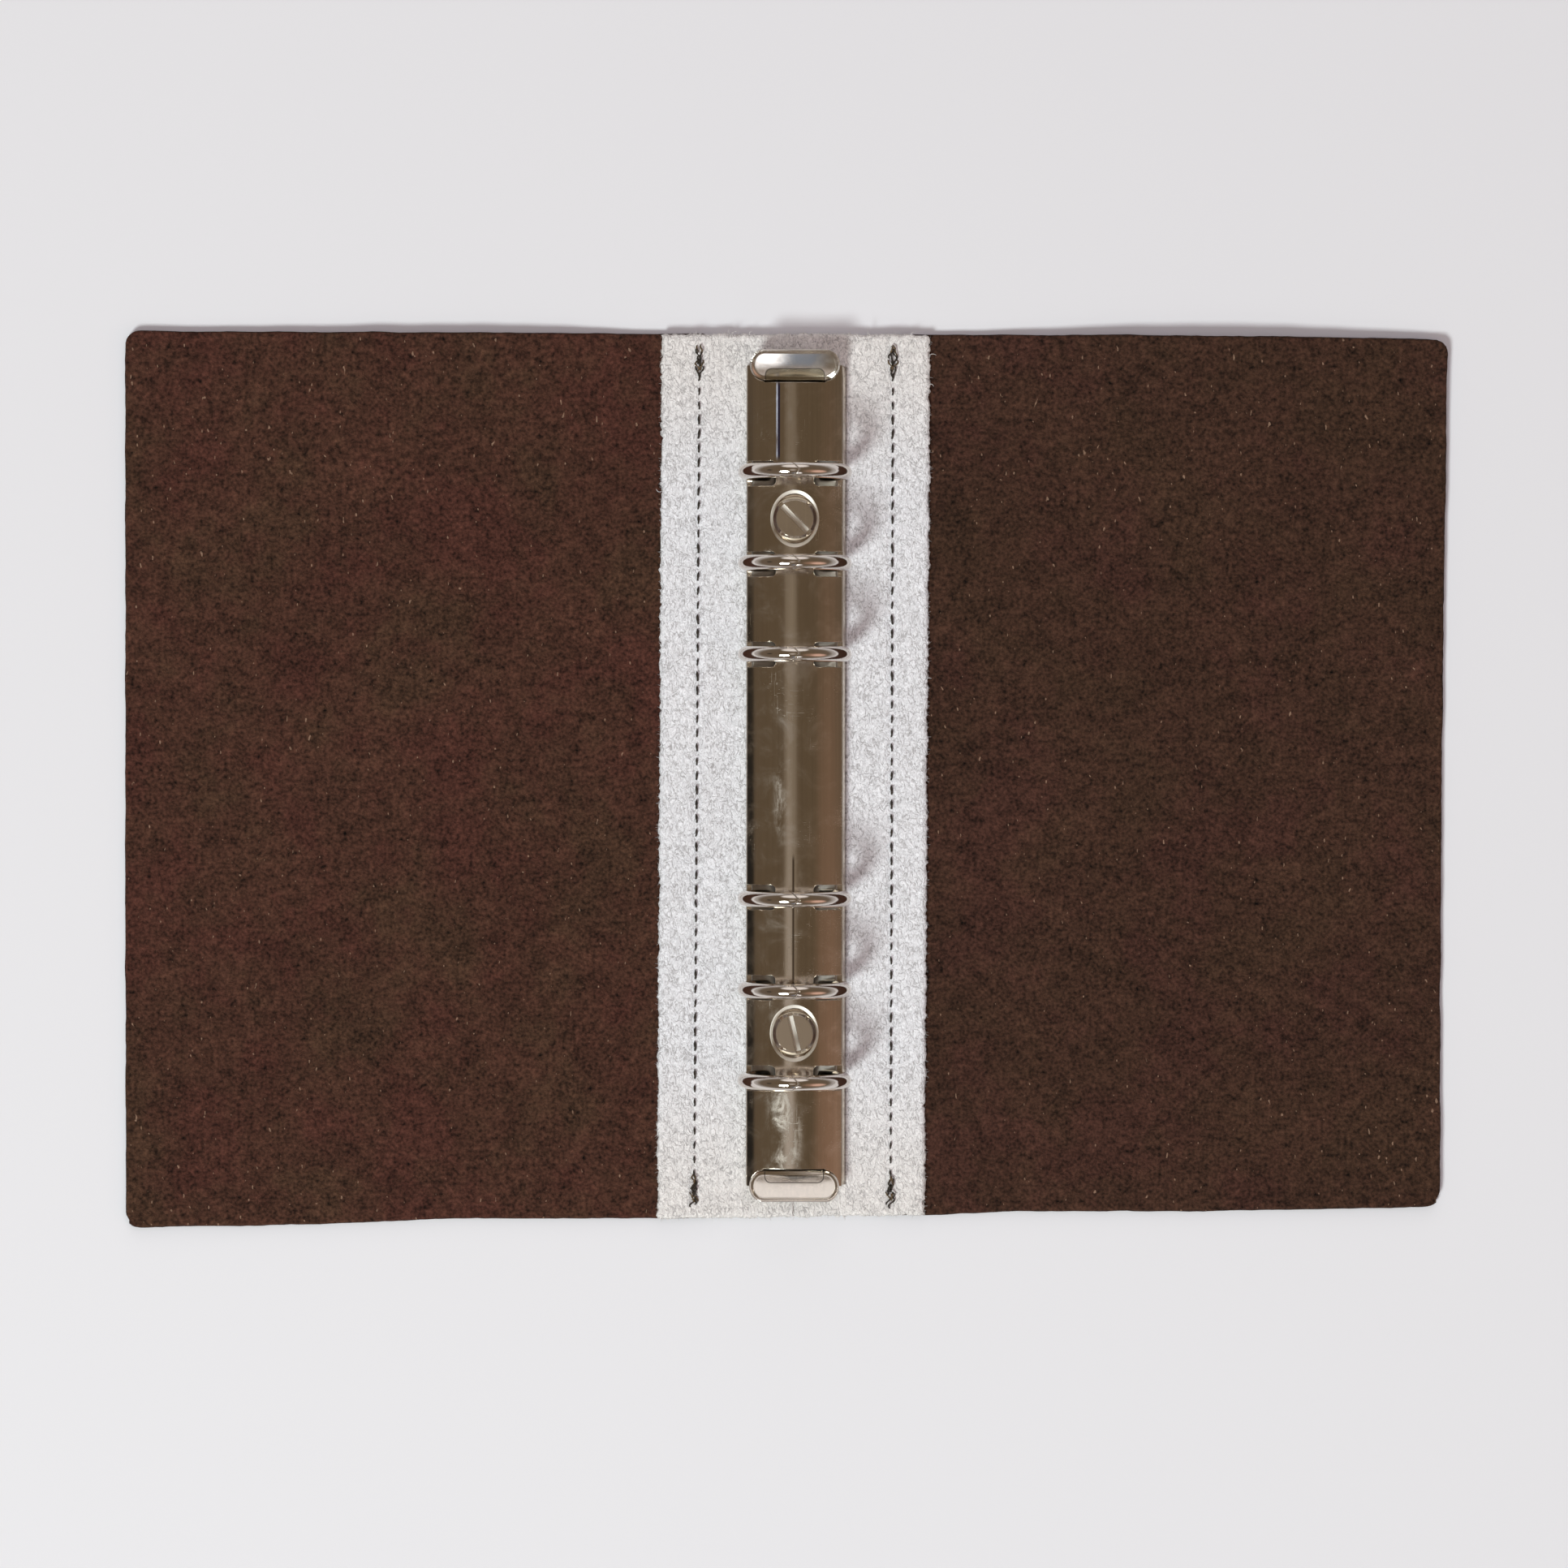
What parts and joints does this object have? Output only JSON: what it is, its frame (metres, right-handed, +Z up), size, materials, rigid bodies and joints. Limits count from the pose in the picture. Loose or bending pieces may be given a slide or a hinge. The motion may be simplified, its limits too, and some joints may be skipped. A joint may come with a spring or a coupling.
{
  "type": "ring binder cover",
  "caption": "Open leather ring binder cover with a suede spine strip, an arched housing, split snap rings on two blades and a press lever at each end.",
  "frame": {"origin": "on the table, under the middle of the spine of the open cover", "axes": "+X across the open cover to the right, +Y along the spine to its upper end, +Z up from the table to the ring tops"},
  "size_m": [0.28, 0.187, 0.026],
  "materials": {
    "cover_leather": "dark brown suede, napped",
    "spine_suede": "white suede, fibrous",
    "thread": "dark brown waxed polyester thread",
    "nickel": "bright nickel plate, lightly scratched",
    "steel": "plain plated steel"
  },
  "bodies": {
    "spine": {"spine_strip": "spine_suede", "housing": "nickel", "screw_upper": "nickel", "screw_lower": "nickel", "post_upper": "nickel", "post_lower": "nickel"},
    "left_cover": {"cover_left": "cover_leather", "strip_flap_left": "spine_suede", "stitching_left": "thread"},
    "left_rings": {"blade_left": "steel", "ring_1_left": "nickel", "ring_2_left": "nickel", "ring_3_left": "nickel", "ring_4_left": "nickel", "ring_5_left": "nickel", "ring_6_left": "nickel"},
    "right_cover": {"cover_right": "cover_leather", "strip_flap_right": "spine_suede", "stitching_right": "thread"},
    "right_rings": {"blade_right": "steel", "ring_1_right": "nickel", "ring_2_right": "nickel", "ring_3_right": "nickel", "ring_4_right": "nickel", "ring_5_right": "nickel", "ring_6_right": "nickel"},
    "upper_lever": {"lever_upper": "nickel"},
    "lower_lever": {"lever_lower": "nickel"}
  },
  "joints": [
    {"name": "left_cover_fold", "type": "hinge", "parent": "spine", "child": "left_cover", "pos_m": [-0.016, 0, 0.0034], "axis": [0, 1, 0], "range_deg": [0, 90]},
    {"name": "right_cover_fold", "type": "hinge", "parent": "spine", "child": "right_cover", "pos_m": [0.016, 0, 0.0034], "axis": [0, -1, 0], "range_deg": [0, 90]},
    {"name": "left_ring_swing", "type": "hinge", "parent": "spine", "child": "left_rings", "pos_m": [-0.0086, 0, 0.0062], "axis": [0, -1, 0], "range_deg": [0, 15]},
    {"name": "right_ring_swing", "type": "hinge", "parent": "spine", "child": "right_rings", "pos_m": [0.0086, 0, 0.0062], "axis": [0, 1, 0], "range_deg": [0, 15]},
    {"name": "upper_lever_press", "type": "hinge", "parent": "spine", "child": "upper_lever", "pos_m": [0, 0.0805, 0.0053], "axis": [-1, 0, 0], "range_deg": [0, 15]},
    {"name": "lower_lever_press", "type": "hinge", "parent": "spine", "child": "lower_lever", "pos_m": [0, -0.0805, 0.0053], "axis": [1, 0, 0], "range_deg": [0, 15]}
  ],
  "couplings": [
    {"joint": "right_ring_swing", "follows": "left_ring_swing", "ratio": 1},
    {"joint": "upper_lever_press", "follows": "left_ring_swing", "ratio": 1},
    {"joint": "lower_lever_press", "follows": "left_ring_swing", "ratio": 1}
  ]
}
